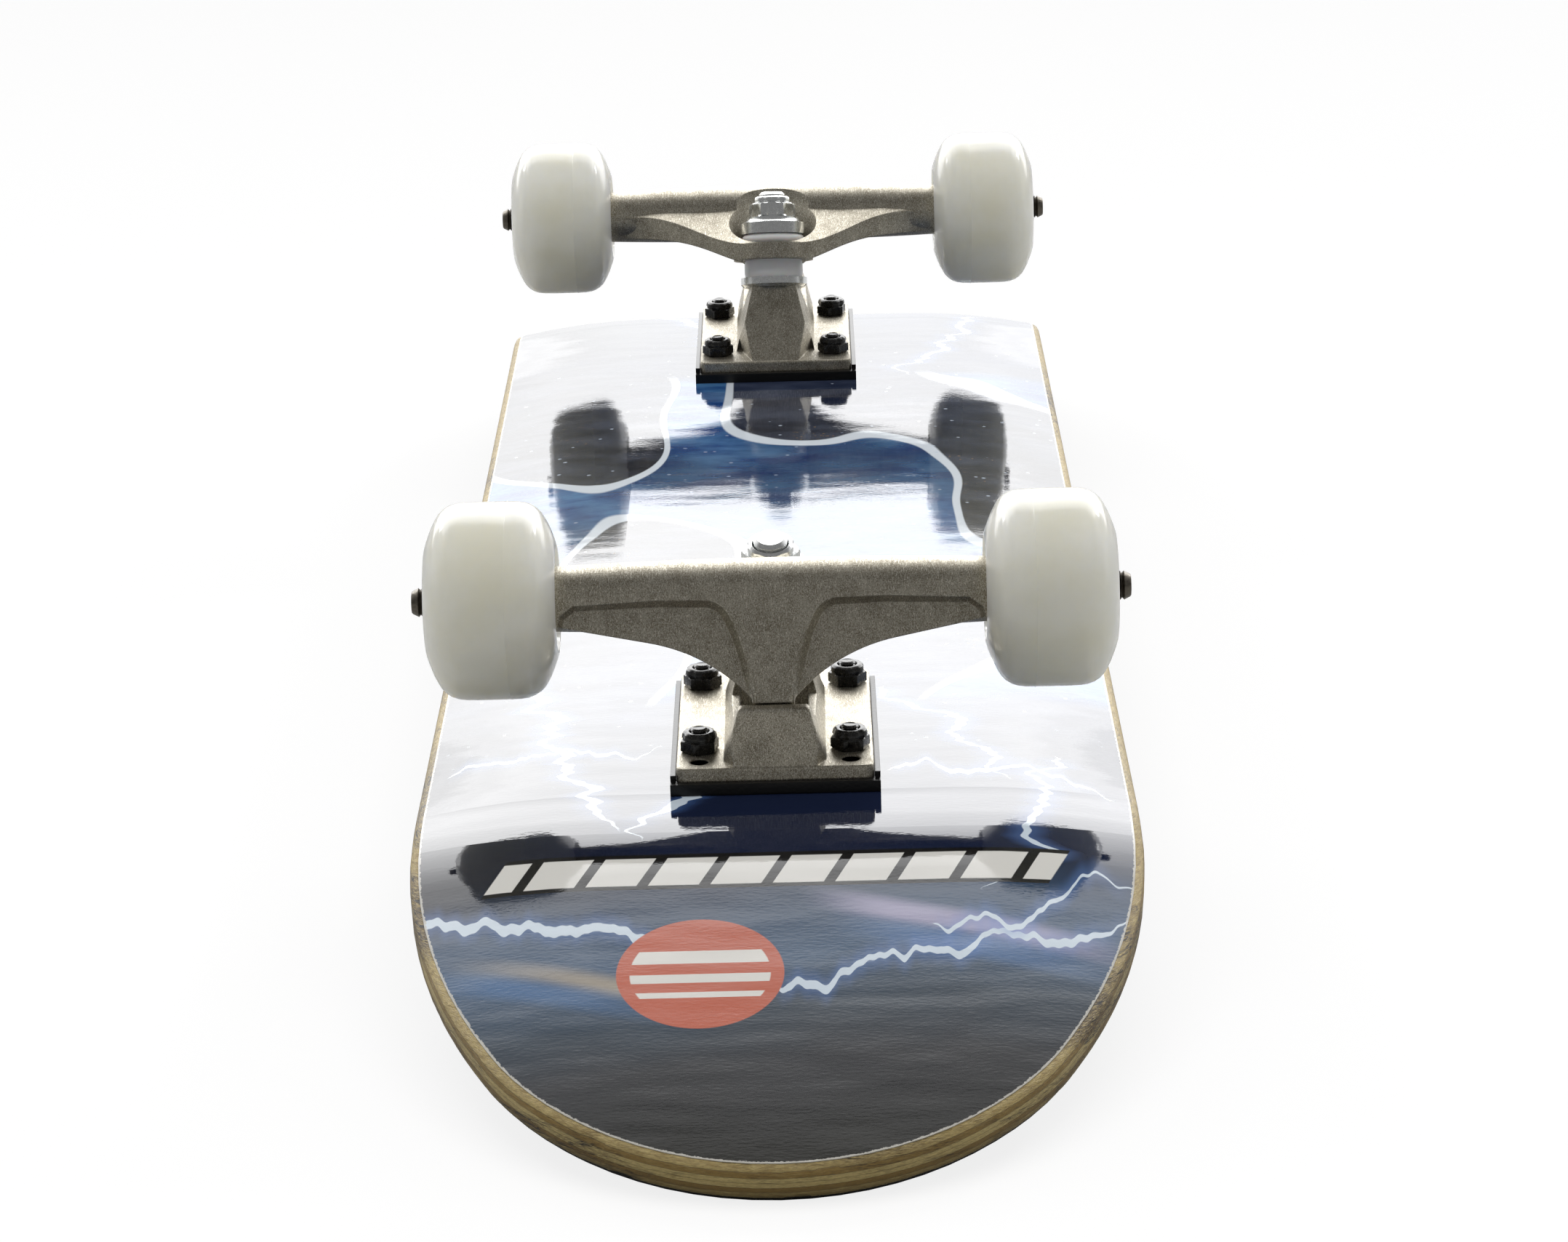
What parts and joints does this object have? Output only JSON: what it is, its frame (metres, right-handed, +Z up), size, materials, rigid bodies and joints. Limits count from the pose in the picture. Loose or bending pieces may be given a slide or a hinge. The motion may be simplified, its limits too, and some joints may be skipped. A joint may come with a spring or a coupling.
{
  "type": "skateboard",
  "caption": "Skateboard with a pressed maple deck, cast aluminium trucks that steer on urethane bushings, and urethane wheels on ball bearings, stored wheels up.",
  "frame": {"origin": "middle of the board's bounding box at its lowest point, the plane that the two kicks' tips rest on", "axes": "+Z up from the resting plane towards the wheels, Y along the board with the nose at -Y and the tail at +Y, X along the axles"},
  "size_m": [0.197, 0.796, 0.1292],
  "materials": {
    "maple_plies": "stained and lacquered maple plies, bare at the routed edge",
    "printed_film": "glossy printed transfer film in charcoal, navy and pale blue",
    "grip_tape": "black silicon carbide grit sheet",
    "riser_rubber": "satin black moulded pad",
    "cast_aluminium": "raw tumbled casting, speckled and lightly scratched",
    "zinc_steel": "zinc plated",
    "bushing_urethane": "satin off-white urethane",
    "black_steel": "black oxide, oiled",
    "axle_steel": "dark hardened steel",
    "bearing_steel": "ground bearing steel and pressed shields",
    "wheel_urethane": "glossy off-white cast urethane"
  },
  "bodies": {
    "root": {"deck": "maple_plies", "printed_film": "printed_film", "grip_tape": "grip_tape", "nose_riser_pad": "riser_rubber", "nose_baseplate": "cast_aluminium", "nose_pivot_cup": "bushing_urethane", "nose_kingpin": "zinc_steel", "nose_kingpin_nut": "zinc_steel", "nose_lower_cup_washer": "zinc_steel", "nose_upper_cup_washer": "zinc_steel", "nose_lower_bushing": "bushing_urethane", "nose_upper_bushing": "bushing_urethane", "nose_mounting_bolts": "black_steel", "nose_mounting_nuts": "black_steel", "tail_riser_pad": "riser_rubber", "tail_baseplate": "cast_aluminium", "tail_pivot_cup": "bushing_urethane", "tail_kingpin": "zinc_steel", "tail_kingpin_nut": "zinc_steel", "tail_lower_cup_washer": "zinc_steel", "tail_upper_cup_washer": "zinc_steel", "tail_lower_bushing": "bushing_urethane", "tail_upper_bushing": "bushing_urethane", "tail_mounting_bolts": "black_steel", "tail_mounting_nuts": "black_steel"},
    "nose_axle_assembly": {"nose_hanger": "cast_aluminium", "nose_axle": "axle_steel", "nose_speed_rings": "zinc_steel", "nose_bearing_spacers": "zinc_steel", "nose_bearing_inner_races": "bearing_steel", "nose_axle_nuts": "axle_steel"},
    "nose_left_wheel": {"nose_left_wheel": "wheel_urethane", "nose_left_bearing_outer_races": "bearing_steel", "nose_left_bearing_shields": "bearing_steel", "nose_left_bearing_balls": "bearing_steel"},
    "nose_right_wheel": {"nose_right_wheel": "wheel_urethane", "nose_right_bearing_outer_races": "bearing_steel", "nose_right_bearing_shields": "bearing_steel", "nose_right_bearing_balls": "bearing_steel"},
    "tail_axle_assembly": {"tail_hanger": "cast_aluminium", "tail_axle": "axle_steel", "tail_speed_rings": "zinc_steel", "tail_bearing_spacers": "zinc_steel", "tail_bearing_inner_races": "bearing_steel", "tail_axle_nuts": "axle_steel"},
    "tail_left_wheel": {"tail_left_wheel": "wheel_urethane", "tail_left_bearing_outer_races": "bearing_steel", "tail_left_bearing_shields": "bearing_steel", "tail_left_bearing_balls": "bearing_steel"},
    "tail_right_wheel": {"tail_right_wheel": "wheel_urethane", "tail_right_bearing_outer_races": "bearing_steel", "tail_right_bearing_shields": "bearing_steel", "tail_right_bearing_balls": "bearing_steel"}
  },
  "joints": [
    {"name": "nose_steering", "type": "hinge", "parent": "root", "child": "nose_axle_assembly", "pos_m": [0, -0.2382, 0.0678], "axis": [0, 0.8329, 0.5534], "range_deg": [-12, 12], "stiffness_Nm_per_rad": 40, "deforming": ["nose_lower_bushing", "nose_upper_bushing"]},
    {"name": "nose_left_wheel_spin", "type": "hinge", "parent": "nose_axle_assembly", "child": "nose_left_wheel", "pos_m": [-0.0765, -0.224, 0.1019], "axis": [1, 0, 0], "continuous": true},
    {"name": "nose_right_wheel_spin", "type": "hinge", "parent": "nose_axle_assembly", "child": "nose_right_wheel", "pos_m": [0.0765, -0.224, 0.1019], "axis": [1, 0, 0], "continuous": true},
    {"name": "tail_steering", "type": "hinge", "parent": "root", "child": "tail_axle_assembly", "pos_m": [0, 0.2382, 0.0678], "axis": [0, -0.8329, 0.5534], "range_deg": [-12, 12], "stiffness_Nm_per_rad": 40, "deforming": ["tail_lower_bushing", "tail_upper_bushing"]},
    {"name": "tail_left_wheel_spin", "type": "hinge", "parent": "tail_axle_assembly", "child": "tail_left_wheel", "pos_m": [-0.0765, 0.224, 0.1019], "axis": [1, 0, 0], "continuous": true},
    {"name": "tail_right_wheel_spin", "type": "hinge", "parent": "tail_axle_assembly", "child": "tail_right_wheel", "pos_m": [0.0765, 0.224, 0.1019], "axis": [1, 0, 0], "continuous": true}
  ]
}
